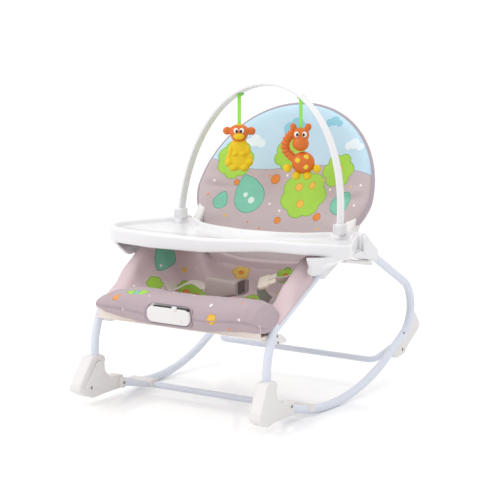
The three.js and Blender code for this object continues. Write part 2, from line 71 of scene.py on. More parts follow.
def new_mesh(name, bm, finish):
    mesh = bpy.data.meshes.new(name)
    bm.to_mesh(mesh)
    bm.free()
    mesh.materials.append(finish)
    return mesh


def piece(name, bm, finish, body, replaces=(), sharp=35):
    """Turns a bmesh in mm into a finished piece, with sharp edges past an angle in degrees, or none at 0."""
    bmesh.ops.remove_doubles(bm, verts=bm.verts, dist=MERGE)
    bmesh.ops.recalc_face_normals(bm, faces=bm.faces)
    bmesh.ops.transform(bm, matrix=TO_FRAME, verts=bm.verts)
    mesh = new_mesh(name, bm, finish)
    mesh.shade_smooth()
    if sharp:
        mesh.set_sharp_from_angle(angle=radians(sharp))
    obj = new_object(name, mesh)
    if body:
        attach(obj, body)
    if replaces:
        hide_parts(*replaces)
    return obj


def pair(name, bm, finish, body, replaces=()):
    """The right-hand piece and its mirror image on the left."""
    other = bm.copy()
    bmesh.ops.scale(other, vec=(-1, 1, 1), verts=other.verts)
    for side, shape in (("right", bm), ("left", other)):
        nodes = [f"{n}_{side}" for n in replaces]
        piece(f"{name}_{side}", shape, finish, body.format(side), nodes)


def fillet(points, steps=6):
    """A run of points [x, y, z, radius] with its corners rounded."""
    out = []
    for i, p in enumerate(points):
        here = Vector(p[:3])
        r = p[3] if len(p) > 3 else 0
        if not r:
            out.append(here)
            continue
        u = (Vector(points[i - 1][:3]) - here).normalized()
        v = (Vector(points[(i + 1) % len(points)][:3]) - here).normalized()
        opening = u.angle(v)
        turn = pi - opening
        centre = here + (u + v).normalized() * (r / sin(opening / 2))
        a = here + u * (r / tan(opening / 2)) - centre
        b = here + v * (r / tan(opening / 2)) - centre
        for k in range(steps + 1):
            t = k / steps
            q = a * (sin((1 - t) * turn) / sin(turn)) + b * (sin(t * turn) / sin(turn))
            out.append(q + centre)
    return out


def outline(corners, steps=6):
    """A closed flat outline whose corners [a, b, radius] are rounded."""
    n = len(corners)
    out = []
    for i, c in enumerate(corners):
        r = c[2] if len(c) > 2 else 0
        if not r:
            out.append(Vector((c[0], c[1])))
            continue
        tri = [(*corners[i - 1][:2], 0), (c[0], c[1], 0, r), (*corners[(i + 1) % n][:2], 0)]
        out += [q.xy for q in fillet(tri, steps)[1:-1]]
    return out


def spread(points, count, closed=True):
    """The same run of points, spaced evenly."""
    pts = [Vector(p) for p in points] + ([Vector(points[0])] if closed else [])
    lengths = [0.0]
    for a, b in zip(pts, pts[1:]):
        lengths.append(lengths[-1] + (b - a).length)
    out = []
    k = 0
    for i in range(count):
        s = lengths[-1] * i / (count if closed else count - 1)
        while k < len(pts) - 2 and lengths[k + 1] < s:
            k += 1
        gap = lengths[k + 1] - lengths[k]
        out.append(pts[k].lerp(pts[k + 1], (s - lengths[k]) / gap if gap else 0))
    return out


def soften(points, rounds=3):
    """Cuts the corners off an open run of points until it flows."""
    pts = [Vector(p) for p in points]
    for _ in range(rounds):
        cut = [pts[0]]
        for a, b in zip(pts, pts[1:]):
            cut += [a.lerp(b, 0.25), a.lerp(b, 0.75)]
        pts = cut + [pts[-1]]
    return pts


def ripple(x, y, seed=0.0):
    """A smooth unevenness between -1 and 1, the same on every run."""
    return noise.noise(Vector((x, y, seed)))


def ramp(a, b, x):
    """Goes smoothly from 0 at a to 1 at b."""
    t = min(1.0, max(0.0, (x - a) / (b - a)))
    return t * t * (3 - 2 * t)


def between(stops, x):
    """Reads a smooth curve through stops (x, value, value ...) at x."""
    if x <= stops[0][0]:
        return list(stops[0][1:])
    for a, b in zip(stops, stops[1:]):
        if x <= b[0]:
            t = ramp(a[0], b[0], x)
            return [p + (q - p) * t for p, q in zip(a[1:], b[1:])]
    return list(stops[-1][1:])


def hoop(bm, points):
    verts = [bm.verts.new(p) for p in points]
    return [bm.edges.new((verts[i - 1], verts[i])) for i in range(len(verts))]


def skin(rings, closed=False, bm=None):
    """Bridges a run of rings into a skin, and joins the last to the first or else fills both."""
    bm = bm or bmesh.new()
    hoops = [hoop(bm, r) for r in rings]
    for a, b in zip(hoops, hoops[1:]):
        bmesh.ops.bridge_loops(bm, edges=a + b)
    if closed:
        bmesh.ops.bridge_loops(bm, edges=hoops[-1] + hoops[0])
    else:
        for h in (hoops[0], hoops[-1]):
            bmesh.ops.contextual_create(bm, geom=h)
    return bm


def along(points, closed=False, first=None):
    """Matrices that carry a flat section along points without twisting it."""
    pts = [Vector(p) for p in points]
    n = len(pts)
    out = []
    normal = first or Vector((1, 0, 0))
    for i in range(n):
        a = pts[i - 1] if (i or closed) else pts[i]
        b = pts[(i + 1) % n] if (i < n - 1 or closed) else pts[i]
        t = (b - a).normalized()
        if i == 0 and abs(t.dot(normal)) > 0.9:
            normal = Vector((0, 1, 0))
        normal = (normal - t * normal.dot(t)).normalized()
        side = t.cross(normal)
        m = Matrix((normal, side, t)).transposed().to_4x4()
        m.translation = pts[i]
        out.append(m)
    return out


def sweep(points, section, closed=False, first=None, bm=None):
    """Carries a flat section along points."""
    rings = [[m @ Vector((s, u, 0)) for s, u in section] for m in along(points, closed, first)]
    return skin(rings, closed, bm)


def circle(r, sides=28):
    turns = [TAU * k / sides for k in range(sides)]
    return [(r * cos(t), r * sin(t)) for t in turns]


def tube(points, r, sides=28):
    return sweep(points, circle(r, sides))


def box(low_a, high_a, low_b, high_b, r=0):
    """The four corners of an oblong, for an outline."""
    return [(low_a, low_b, r), (high_a, low_b, r), (high_a, high_b, r), (low_a, high_b, r)]


def round_over(bm, edges, width, segments, clamp):
    bmesh.ops.bevel(bm, geom=list(dict.fromkeys(edges)), offset=width, offset_type="OFFSET",
                    segments=segments, profile=0.5, affect="EDGES", material=-1, clamp_overlap=clamp)


PLANES = {"yz": lambda a, b, c: (c, a, b), "xy": lambda a, b, c: (a, b, c), "xz": lambda a, b, c: (a, c, b)}


def plate(corners, near, far, plane="yz", edge=2.0, steps=6, bm=None):
    """An outline pushed from near to far along the third axis, with its rims rounded over."""
    bm = bm or bmesh.new()
    put = PLANES[plane]
    base = bm.faces.new([bm.verts.new(put(p[0], p[1], near)) for p in outline(corners, steps)])
    made = bmesh.ops.extrude_face_region(bm, geom=[base])["geom"]
    top = [f for f in made if isinstance(f, bmesh.types.BMFace)]
    verts = [v for v in made if isinstance(v, bmesh.types.BMVert)]
    bmesh.ops.translate(bm, vec=Vector(put(0, 0, far)) - Vector(put(0, 0, near)), verts=verts)
    if edge:
        round_over(bm, list(base.edges) + [e for f in top for e in f.edges], edge, 3, False)
    return bm


def disc(bm, y, z, r, near, far, edge, sides=28):
    """A short round pin along X."""
    made = bmesh.ops.create_cone(bm, cap_ends=True, segments=sides, radius1=r, radius2=r, depth=far - near)
    place = Matrix.Translation(((near + far) / 2, y, z)) @ Matrix.Rotation(pi / 2, 4, "Y")
    bmesh.ops.transform(bm, matrix=place, verts=made["verts"])
    edges = [e for v in made["verts"] for e in v.link_edges]
    round_over(bm, [e for e in edges if abs(e.verts[0].co.x - e.verts[1].co.x) < 1e-6], edge, 2, True)


def egg(centre, radii, turn=0.0, bm=None):
    """An ellipsoid, turned in the XZ plane by degrees."""
    bm = bm or bmesh.new()
    made = bmesh.ops.create_uvsphere(bm, u_segments=32, v_segments=20, radius=1)
    swing = Matrix.Rotation(radians(turn), 4, "Y")
    place = Matrix.Translation(centre) @ swing @ Matrix.Diagonal((*radii, 1))
    bmesh.ops.transform(bm, matrix=place, verts=made["verts"])
    return bm


def apply_modifiers(obj):
    graph = bpy.context.evaluated_depsgraph_get()
    graph.update()
    old = obj.data
    mesh = bpy.data.meshes.new_from_object(obj.evaluated_get(graph))
    mesh.name = old.name
    materials = list(old.materials)
    obj.modifiers.clear()
    obj.data = mesh
    bpy.data.meshes.remove(old)
    mesh.materials.clear()
    for m in materials:
        mesh.materials.append(m)
    mesh.shade_smooth()


def melt(obj, voxel_mm, rounds):
    """Fuses overlapping lumps into one smooth moulded skin."""
    m = obj.modifiers.new("melt", "REMESH")
    m.mode = "VOXEL"
    m.voxel_size = voxel_mm * MM
    s = obj.modifiers.new("smooth", "SMOOTH")
    s.factor = 0.5
    s.iterations = rounds
    apply_modifiers(obj)


def lay_print(obj, read):
    """Writes the cloth's own flat coordinates, in metres, as its UV map."""
    mesh = obj.data
    back = TO_FRAME.inverted()
    layer = mesh.uv_layers.new(name="print")
    for loop in mesh.loops:
        a, b = read(back @ mesh.vertices[loop.vertex_index].co)
        layer.data[loop.index].uv = (a * MM, b * MM)


def leaning(tilt, y, z):
    """A plane that leans back by tilt through (y, z): x across it, y up it and z out of its front."""
    c, s = cos(tilt), sin(tilt)
    return Matrix(((1, 0, 0, 0), (0, s, -c, y), (0, c, s, z), (0, 0, 0, 1)))


# ------------ materials
def lin(hexcode):
    """An sRGB hex colour as a linear one."""
    out = []
    for k in (0, 2, 4):
        c = int(hexcode[k:k + 2], 16) / 255
        out.append(c / 12.92 if c <= 0.04045 else ((c + 0.055) / 1.055) ** 2.4)
    return (*out, 1.0)


def node(nt, kind, inputs=None, **settings):
    """Adds a node with its settings. Each of its inputs is a value, or the output that feeds it."""
    n = nt.nodes.new("ShaderNode" + kind)
    for key, value in settings.items():
        setattr(n, key, value)
    for key, value in (inputs or {}).items():
        if isinstance(value, bpy.types.NodeSocket):
            nt.links.new(value, n.inputs[key])
        else:
            n.inputs[key].default_value = value
    return n


def material(name, colour, roughness, coat=0, sheen=0, grain=0, size_mm=1, metallic=0, ior=1.5):
    """A plain finish, with a grain whose lumps are size_mm across."""
    m = bpy.data.materials.new(name)
    m.use_nodes = True
    nt = m.node_tree
    b = nt.nodes["Principled BSDF"]
    looks = {"Base Color": lin(colour), "Roughness": roughness, "Metallic": metallic, "IOR": ior,
             "Coat Weight": coat, "Coat Roughness": 0.08, "Sheen Weight": sheen}
    for socket, value in looks.items():
        b.inputs[socket].default_value = value
    if grain:
        place = node(nt, "TexCoord").outputs["Object"]
        lumps = node(nt, "TexNoise", {"Vector": place, "Scale": 1000 / size_mm, "Detail": 3.0})
        height = lumps.outputs["Fac"]
        bump = node(nt, "Bump", {"Height": height, "Strength": grain, "Distance": MM})
        nt.links.new(bump.outputs["Normal"], b.inputs["Normal"])
    return m


# Polyester powder coat baked on steel tube: pale, cool, soft highlights with a faint orange peel.
POWDER = material("pale powder-coated steel", "E0E5F1", 0.34, coat=0.15, grain=0.03,
                  size_mm=1.2)
# Injection-moulded ABS with a polished tool finish: clean white with a sharp soft glare.
ABS = material("polished white ABS", "ECEBED", 0.24, coat=0.2)
# Moulded polypropylene: a warmer, duller white.
PP = material("satin ivory polypropylene", "EBE8E7", 0.45, grain=0.02, size_mm=1.5)
# Painted shade: a dull charcoal sheet, so that the slot at the top of the unit reads as a dark hollow.
SLOT_SHADE = material("painted shade in unit slot", "3A3638", 0.6)
# Flat woven webbing, lining and bias tape: dull, with a rib drawn coarse enough to show.
TAUPE = material("taupe woven webbing", "A69893", 0.9, sheen=0.1, grain=0.25, size_mm=1.1)
# Painted shade: a dark, dull core inside the crotch sleeve, for the shade in its hollow.
SLEEVE_SHADE = material("painted shade inside sleeve", "6E625F", 0.95)
PIPING = material("mauve bias tape", "B3A5AE", 0.85, sheen=0.1, grain=0.2, size_mm=0.9)
BELT = material("light beige webbing", "DDD3CA", 0.85, sheen=0.1, grain=0.2, size_mm=1.1)
LINING = material("beige woven lining", "EADFD6", 0.9, sheen=0.1, grain=0.2, size_mm=1.1)
# Moulded acetal: smooth and a little waxy.
BUCKLE = material("ivory moulded acetal", "E9DFD0", 0.35)
# Zinc plate on steel screws: grey metal with a soft glint.
SCREW = material("zinc-plated steel", "8E8C8A", 0.4, metallic=0.7)
# Woven satin ribbon: bright, with a slight sheen.
RIBBON = material("lime satin ribbon", "8FE648", 0.55, sheen=0.1)
# Soft moulded PVC with painted details: even colour, low gloss on the bodies, more on the paint.
ORANGE = material("orange moulded PVC", "DD701C", 0.4, coat=0.1)
YELLOW = material("yellow moulded PVC", "EAC700", 0.55)
SPOT = material("yellow paint on PVC", "F2D02A", 0.4, coat=0.1)
EYEWHITE = material("white paint on PVC", "F6F4EE", 0.3)
PUPIL = material("black paint on PVC", "17120F", 0.25)


class Print:
    """A printed cloth: flat shapes in the sheet's own coordinates, in mm, over a plain ground."""

    def __init__(self, name, ground):
        self.m = bpy.data.materials.new(name)
        self.m.use_nodes = True
        self.nt = self.m.node_tree
        self.uv = node(self.nt, "UVMap", uv_map="print").outputs["UV"]
        split = node(self.nt, "SeparateXYZ", {0: self.uv})
        self.x, self.y = split.outputs[0], split.outputs[1]
        start = node(self.nt, "RGB")
        start.outputs[0].default_value = lin(ground)
        self.colour = start.outputs[0]

    def paint(self, mask, hexcode):
        inputs = {"Factor": mask.outputs[0], "A": self.colour, "B": lin(hexcode)}
        self.colour = node(self.nt, "Mix", inputs, data_type="RGBA").outputs["Result"]

    def shape(self, discs, hexcode, line=None, width=0.8):
        """Paints a union of discs (x, y, radius), with a line of its own colour along the edge."""
        edge = None
        for x, y, r in discs:
            inputs = {0: self.uv, 1: (x * MM, y * MM, 0)}
            far = node(self.nt, "VectorMath", inputs, operation="DISTANCE").outputs["Value"]
            one = node(self.nt, "Math", {0: far, 1: r * MM}, operation="SUBTRACT")
            if edge:
                inputs = {0: edge.outputs[0], 1: one.outputs[0]}
                one = node(self.nt, "Math", inputs, operation="MINIMUM")
            edge = one
        for reach, colour in ((width, line), (-width, hexcode)) if line else ((0.0, hexcode),):
            inputs = {0: edge.outputs[0], 1: reach * MM}
            self.paint(node(self.nt, "Math", inputs, operation="LESS_THAN"), colour)

    def sprinkle(self, points, r, colours):
        """Paints dots of radius r, whose colours take turns."""
        for i, colour in enumerate(colours):
            self.shape([(x, y, r) for x, y in points[i::len(colours)]], colour)

    def done(self):
        """Adds a faint clouding and the weave, which is drawn coarse enough to show."""
        b = self.nt.nodes["Principled BSDF"]
        cloud = node(self.nt, "TexNoise", {"Vector": self.uv, "Scale": 28.0, "Detail": 2.0})
        inputs = {"Factor": 0.08, "A": self.colour, "B": cloud.outputs["Fac"]}
        shade = node(self.nt, "Mix", inputs, data_type="RGBA", blend_type="MULTIPLY")
        self.nt.links.new(shade.outputs["Result"], b.inputs["Base Color"])
        weave = node(self.nt, "TexNoise", {"Vector": self.uv, "Scale": 1100.0})
        inputs = {"Height": weave.outputs["Fac"], "Strength": 0.12, "Distance": 0.0006}
        bump = node(self.nt, "Bump", inputs)
        self.nt.links.new(bump.outputs["Normal"], b.inputs["Normal"])
        b.inputs["Roughness"].default_value = 0.78
        b.inputs["Sheen Weight"].default_value = 0.1
        return self.m


# The seat's ground is paler than the back's: painted light against the shade inside the seat. The roll's is
# darker: painted shade for the roll's shading.
BACK_GROUND, SEAT_GROUND_LIT, ROLL_GROUND_SHADED = "C8B8BA", "E0CACE", "BBA8AF"
LEAF, LEAF_LINE = "ABDB4E", "80B43C"
TEAL, TEAL_LINE = "82CCB2", "5AA48C"
HONEY, HONEY_LINE = "F2C14E", "C9902E"
RUST, RUST_LINE = "EF8E3C", "B9642A"
DOTS = ["F5ECF0", "F0903A", "F5EFE0", HONEY]


def blossom(x, y, r, petals, turn):
    """A scalloped head: a ring of overlapping discs round a middle."""
    out = [(x, y, r * 0.62)]
    for k in range(petals):
        a = turn + TAU * k / petals
        out.append((x + r * 0.56 * cos(a), y + r * 0.56 * sin(a), r * 0.44))
    return out


def drop(x, y, r, turn):
    """A drop: discs that shrink towards a tip."""
    a = radians(turn)
    return [(x + r * s * cos(a), y + r * s * sin(a), r * q) for s, q in
            ((0, 1), (0.45, 0.82), (0.8, 0.6), (1.1, 0.38), (1.35, 0.18))]


def back_print():
    """Blossoms and drops under a pale sky, whose lower edge is a rolling line."""
    c = Print("mauve and sky printed polyester, back", BACK_GROUND)
    # The sky's edge rolls 10 mm up and down, three times to the metre.
    height = c.x
    for operation, value in (("MULTIPLY", 19.0), ("SINE", 0.0), ("MULTIPLY", -0.010), ("ADD", c.y)):
        height = node(c.nt, "Math", {0: height, 1: value}, operation=operation).outputs[0]
    for level, colour in ((0.060, "A9A3B4"), (0.0615, "C5E2F2")):
        c.paint(node(c.nt, "Math", {0: height, 1: level}, operation="GREATER_THAN"), colour)
    c.shape([(-104, 104, 9), (-92, 110, 12), (-78, 105, 9), (122, 112, 8), (134, 117, 11), (147, 112, 8)],
            "E9F5FA")
    c.shape([(-22, 140, 13), (-6, 148, 16), (12, 141, 12), (66, 156, 8), (78, 161, 10), (90, 156, 7)],
            "92CCDE")
    for head in ((-8, 88, 34, 6, 0.5), (-126, 66, 40, 7, 0.2), (112, 62, 35, 6, 0.1), (48, 8, 50, 7, 0.9)):
        c.shape(blossom(*head), LEAF, LEAF_LINE)
    for bead in ((-72, -8, 33, 118), (134, -8, 20, 60), (-134, -24, 15, 80)):
        c.shape(drop(*bead), TEAL, TEAL_LINE)
    c.shape([(34, 22, 8), (62, 28, 7), (46, -12, 8), (-120, 74, 7), (-140, 56, 6), (112, 66, 7)],
            HONEY, HONEY_LINE, 0.5)
    c.shape([(-66, -14, 7), (-82, -4, 5), (136, -10, 5)], "DFF3EA")
    c.shape([(-8, 88, 8), (-24, 34, 10), (6, -50, 7), (-110, 20, 6), (92, -36, 8)], RUST, RUST_LINE, 0.5)
    c.sprinkle([(-160, 18), (-40, 40), (104, 22), (100, -60), (172, 34), (-60, -60), (0, 44), (84, 40),
                (-22, -18), (-165, -12), (66, -76), (-112, -52), (170, -8), (-30, -70), (4, -30), (150, 30)],
               2.6, DOTS)
    return c.done()


def seat_print():
    """Fewer and smaller heads, on a ground painted paler as painted light against the shade inside the seat.
    """
    c = Print("mauve printed polyester, seat", SEAT_GROUND_LIT)
    for head in ((-96, 96, 34, 6, 0.3), (24, 58, 26, 5, 0.3), (66, -30, 22, 7, 0.3), (-150, 150, 17, 6, 0.1)):
        c.shape(blossom(*head), LEAF, LEAF_LINE)
    for bead in ((-192, 98, 24, 60), (112, 118, 30, 70)):
        c.shape(drop(*bead), TEAL, TEAL_LINE)
    c.shape(blossom(-34, -26, 20, 5, 0.6), "F4CD6A", HONEY_LINE, 0.7)
    c.shape([(-102, 102, 7), (-84, 88, 6), (-10, 128, 12), (26, 62, 6), (-34, -26, 5), (66, -30, 5)],
            RUST, RUST_LINE, 0.5)
    c.shape([(-12, 127, 5), (-150, 70, 6), (84, 66, 5)], HONEY)
    c.sprinkle([(-178, 118), (-60, 150), (-36, 96), (72, 150), (150, 80), (140, 160), (-90, 40), (60, 20),
                (-140, 30), (-20, 20), (110, 20), (-100, 176), (20, 160), (100, 190), (-166, 190),
                (-60, 200)], 2.8, DOTS)
    return c.done()


def roll_print():
    """Mostly dots, with a few small flowers."""
    c = Print("mauve printed polyester, front roll", ROLL_GROUND_SHADED)
    c.shape(blossom(-128, 48, 10, 5, 0.3), "F0A04A", "B9742E", 0.5)
    c.shape(blossom(96, 30, 10, 5, 0.9), HONEY, HONEY_LINE, 0.5)
    for leaf in ((-78, 66, 8, 20), (-98, 62, 7, 170)):
        c.shape(drop(*leaf), LEAF, LEAF_LINE)
    c.shape([(-88, 64, 6)], TEAL, TEAL_LINE)
    c.sprinkle([(-176, 22), (-150, 66), (-104, 26), (-112, 84), (-56, 58), (-20, 78), (24, 84), (66, 90),
                (84, 52), (140, 70), (150, 34), (168, 56), (188, 24), (110, 88), (38, 96), (-120, 92),
                (-30, 96), (128, 14)], 2.6, ["F7F0F3", "F0903A", "F5EFE0", "B79FAE"])
    return c.done()


# ------------ bent tubes
RAIL_R = 8
BAR_R = 6
ROCKER_R, RISE = 420, 28
REAR_BEND_R, REAR_BEND_END = 62, 150
SEAT_TUBE_X = 192.0


def arc(cy, cz, r, start, stop, count):
    """Points of an arc round (cy, cz), its angles in degrees from straight down."""
    angles = [radians(start + (stop - start) * k / count) for k in range(count + 1)]
    return [(cy + r * sin(a), cz - r * cos(a)) for a in angles]


def rocker_line():
    """The rocker: a long floor curve, a short rise, a tight rear bend and the run up to the hub."""
    low = arc(-3, RAIL_R + ROCKER_R, ROCKER_R, -21.5, RISE, 36)
    rise, end = radians(RISE), radians(REAR_BEND_END)
    y, z = low[-1][0] + 75 * cos(rise), low[-1][1] + 75 * sin(rise)
    rear = arc(y - REAR_BEND_R * sin(rise), z + REAR_BEND_R * cos(rise), REAR_BEND_R, RISE,
               REAR_BEND_END, 30)
    top = (rear[-1][0] + 150 * cos(end), rear[-1][1] + 150 * sin(end))
    front = low[0][0]
    # The rail is 195 mm out at its front, spreads to 206 behind and comes in to 203 at the hub.
    line = [(min(206.0, 195 + 11 * (y - front) / 339), y, z) for y, z in low + rear]
    return line + [(203.0, *top)]


seat_line = fillet([(SEAT_TUBE_X, -203, 52), (SEAT_TUBE_X, -204, 124, 110), (SEAT_TUBE_X, -183, 178, 35),
                    (SEAT_TUBE_X, 2, 275.5)], 10)
pair("rocker_rail", tube(rocker_line(), RAIL_R), POWDER, "frame", ["rail"])
pair("front_leg", tube(seat_line, RAIL_R), POWDER, "frame", ["seat_tube"])
cross = fillet([(178, -140, 28), (157, -72, 13.5, 14), (-157, -72, 13.5, 14), (-178, -140, 28)], 8)
piece("floor_bar", tube(cross, BAR_R, 24), POWDER, "frame", ["front_cross_bar"])
stand = fillet([(197, 266, 66), (180.5, 266, 66, 9), (180.5, 196, 52, 16), (-180.5, 196, 52, 16),
                (-180.5, 266, 66, 9), (-197, 266, 66)], 8)
piece("stand_bar", tube(stand, BAR_R, 24), POWDER, "kickstand", ["kickstand"])

# The backrest's own plane, in which its tube is a round bow on two bent legs.
BACK = leaning(atan(0.55), 149.1, 362)
UNBACK = BACK.inverted()
BOW_R = 186
half_bow = fillet([(171, -57, 0), (171, -22, 0, 25), (BOW_R, 12, 0, 30), (183.2, 32.3, 0)], 8)[:-1]
turns = [radians(a) for a in range(10, 171, 4)]
crown = [Vector((BOW_R * cos(a), BOW_R * sin(a), 0)) for a in turns]
bow = half_bow + crown + [Vector((-p.x, p.y, p.z)) for p in reversed(half_bow)]
piece("backrest_bow", tube([BACK @ p for p in bow], RAIL_R), POWDER, "backrest", ["back_tube"])


# ------------ feet, clips and stops
def screw_heads(name, heads):
    """A pair of sets of domed heads seen along X: [x of the face, y, z, radius, how far it stands out]."""
    bm = bmesh.new()
    for x, y, z, r, out in heads:
        made = bmesh.ops.create_uvsphere(bm, u_segments=20, v_segments=10, radius=1)
        place = Matrix.Translation((x, y, z)) @ Matrix.Diagonal((out, r, r, 1))
        bmesh.ops.transform(bm, matrix=place, verts=made["verts"])
    pair(name, bm, SCREW, "frame")


def splay(bm):
    """Turns the toe of a foot out to the side in front of its leg."""
    for v in bm.verts:
        v.co.x += 0.17 * max(0.0, -205 - v.co.y)
    return bm


foot = plate([(-222, 92, 5), (-191, 92, 5), (-187, 60, 12), (-172, 45, 10), (-131, 42, 4), (-131, 17, 4),
              (-196, 16, 20), (-221, 13, 12), (-240, 20, 12), (-257, 31, 5), (-253, 44, 8)],
             179, 205, edge=3.2)
splay(foot)
disc(foot, -186, 80, 7.5, 186, 199, 1.5)
disc(foot, -140, 28, 10, 172, 190, 1.2)
pair("front_foot_shell", foot, PP, "frame", ["front_foot"])
lid = plate([(-212, 82, 4), (-197, 82, 4), (-193, 50, 6), (-203, 32, 6), (-238, 30, 5), (-244, 38, 4)],
            176.4, 178.6, edge=0.9)
pair("front_foot_lid", splay(lid), PP, "frame", ["foot_cover"])
screw_heads("foot_screws", [(199.2, -186, 80, 3, 0.9), (205.2, -140, 34, 3, 0.9), (171.6, -140, 28, 3, 0.9),
                            (180.4, -229, 35, 3, 0.9)])

clip = plate(box(-84, -62, 10, 24, 6), 150, 207, edge=2.4)
pair("rail_saddle", clip, PP, "frame", ["rail_clip"])

# The stop cups the rear inner half of the rail, whose outer side stays bare.
stop = plate([(226, 70, 4), (222, 56, 5), (240, 51, 8), (268, 55, 8), (284, 70, 6), (323, 94, 6),
              (329, 107, 5), (313, 127, 6), (307, 134, 4), (301, 133, 4), (292, 114, 20), (267, 90, 30)],
             193, 209, edge=3)
pair("rear_stop_shell", stop, PP, "frame", ["rear_stop"])
screw_heads("stop_screws", [(211.6, 259, 98, 3, 0.9), (209.1, 258, 65, 3.4, 0.8)])

# ------------ hubs
hub = plate([(24, 279, 3), (24, 289.4, 3), (80.7, 289.4, 1), (80.7, 322, 8), (97, 319, 14), (114, 303, 14),
             (138.5, 285.5, 10), (143.5, 268, 8), (137, 257, 6), (112, 266, 12), (56, 277, 12)],
            181, 216, edge=2.4)
plate([(-26.4, 247, 3), (-37.6, 268.2, 4), (2.3, 289.2, 4), (34, 289.2, 2.5), (34, 273, 2.5)],
      181, 201.6, edge=2, bm=hub)
pair("hub_shell", hub, ABS, "frame", ["hub_housing"])
cover = plate([(34, 281, 2.5), (34, 287, 2.5), (84, 287, 2), (84, 317.5, 6), (96, 315.5, 12), (112, 300, 12),
               (136, 283, 8), (140, 269, 6), (135, 260.5, 4), (112, 269, 10), (56, 279, 8)],
              215.8, 221.6, edge=1.9)
pair("hub_face", cover, ABS, "frame", ["hub_cover"])
cap = bmesh.new()
disc(cap, CAP_Y, CAP_Z, 15.5, 219.6, 223.2, 1.3, 40)
pair("hub_button", cap, ABS, "frame", ["hub_cap"])
mark = plate([(88.5, 301.5, 0.9), (96.5, 303.3, 0.9), (96.1, 305.2, 0.9), (88.1, 303.4, 0.9)],
             221.2, 221.75, edge=0)
pair("hub_slot", mark, SCREW, "frame")
lever = plate([(36, 277.5, 2.5), (36, 272.5, 2.5), (48, 267.5, 9), (104, 258, 12), (123, 252.5, 5),
               (132, 252, 2.4), (133, 256.6, 2.4), (112, 263, 9), (56, 273.5, 9)], 185.5, 212.5, edge=2)
pair("lever_grip", lever, PP, "recline_lever_{}", ["recline_lever"])
bracket = plate([(82, 283, 9), (94, 275, 9), (108, 277, 9), (122.5, 291, 9), (146.4, 334.2, 6),
                 (127, 345.2, 6), (95, 309, 9), (83, 300, 8)], 161.3, 180.4, edge=3)
pair("back_knuckle", bracket, PP, "backrest", ["back_bracket"])


# ------------ tray
def tray_edge(inset):
    """The tray from above: a scooped rear between two horns, bowed sides and a bowed front."""
    half = [(70, 27 - inset, 60), (118, 46 - inset, 40), (150 + 0.4 * inset, 79 - inset, 12),
            (211 - inset, 79 - inset, 9), (236 - inset, 22, 60), (261 - inset, -30, 60),
            (257 - inset, -74, 50), (221 - inset, inset - 110, 40), (130, inset - 124, 150)]
    left = [(-x, y, r) for x, y, r in reversed(half)]
    return outline([(0, 18 - inset)] + half + [(0, inset - 129)] + left, 8)


# Hollow underneath, outside wall, rolled rim and dish, from below to the middle: [inset, height].
TRAY_SHAPE = [(9, 303), (5.6, 303), (5.0, 301.5), (4.6, 292), (3.8, 290.5), (2.4, 290.1), (1.1, 290.8),
              (0.5, 292.6), (0, 300), (0, 310.5), (0.5, 313.6), (1.9, 316.2), (4.2, 317.7), (6.6, 318),
              (9, 317.5), (11, 316), (12.2, 313.6), (13, 310.5), (14.4, 308.2), (16.6, 307.2), (20, 307)]


def tray_point(p, inset, z):
    """Towards the right front corner the rim rises and sweeps back, and its wall gets less deep."""
    lift = ramp(-20, -125, p.y) * ramp(-60, 150, p.x)
    rim = 8 * ramp(18, 12, inset)
    return p.x, p.y + 16 * lift, z + (rim + 6 * ramp(303, 291, z)) * lift


tray = skin([[tray_point(p, d, z) for p in tray_edge(d)] for d, z in TRAY_SHAPE])
piece("snack_tray", tray, ABS, "tray", ["tray"], sharp=50)
# Each arm grows out of the tray's wall and draws in to the seat tube: [height, front, back].
TRAY_ARM = [(262.5, -75, -66), (264, -82, -47), (268, -88, -37), (273.5, -93, -24), (279, -97, -9),
            (283.5, -100, 3), (290, -105, 10), (296, -108, 12), (301, -109, 12)]
# How far the tray's wall stands out from the foot of the arm: [along the side, distance].
WALL_OUT = [(-110, 9), (-80, 35), (-45, 42), (-15, 40), (15, 28)]
ARM_X, ARM_THICK = 203, 9.5


def arm_ring(z, shrink=0.0):
    """The arm's section at height z, which follows the tray's wall further up."""
    front, back = between(TRAY_ARM, z)
    section = outline(box(front + shrink, back - shrink, shrink, ARM_THICK - shrink, 3), 5)
    flare = ramp(268, 299, z)
    return [(ARM_X + p.y + between(WALL_OUT, p.x)[0] * flare, p.x, z) for p in spread(section, 72)]


arm = [arm_ring(262.1, 2.2), arm_ring(262.5, 1)] + [arm_ring(263.5 + 1.5 * k) for k in range(26)]
pair("tray_side_arm", skin(arm), ABS, "tray", ["tray_arm"])

# ------------ sockets and toy arch
socket = plate(box(172, 190, 49.5, 74, 4), 317.9, 337.6, "xy", edge=1.6)
for k in range(4):
    # Grip ribs, on the outer side and on the front.
    for x, y in ((190.2, 53.5 + 5.5 * k), (175.2 + 4 * k, 49.3)):
        made = bmesh.ops.create_cone(socket, cap_ends=True, segments=12, radius1=1.3, radius2=1.0, depth=16)
        bmesh.ops.translate(socket, vec=(x, y, 327.5), verts=made["verts"])
pair("arch_holder", socket, ABS, "tray", ["arch_socket"])

# The arch is a little squarer than an ellipse, and leans back from its sockets.
LEAN = atan(0.16)
ARCH_Y, ARCH_Z = 62, 320
ARCH = leaning(LEAN, ARCH_Y, ARCH_Z)
ARCH_HALF, ARCH_FOOT, ARCH_RISE = 181, 4.5, 264
ARCH_POWER = 2 / 2.06
ARCH_STEPS = 120


def arch_point(deg):
    """The middle of the strip, in the arch's own plane."""
    c, s = cos(radians(deg)), sin(radians(deg))
    x = copysign(ARCH_HALF * abs(c) ** ARCH_POWER, c)
    return Vector((x, ARCH_FOOT + ARCH_RISE * abs(s) ** ARCH_POWER, 0))


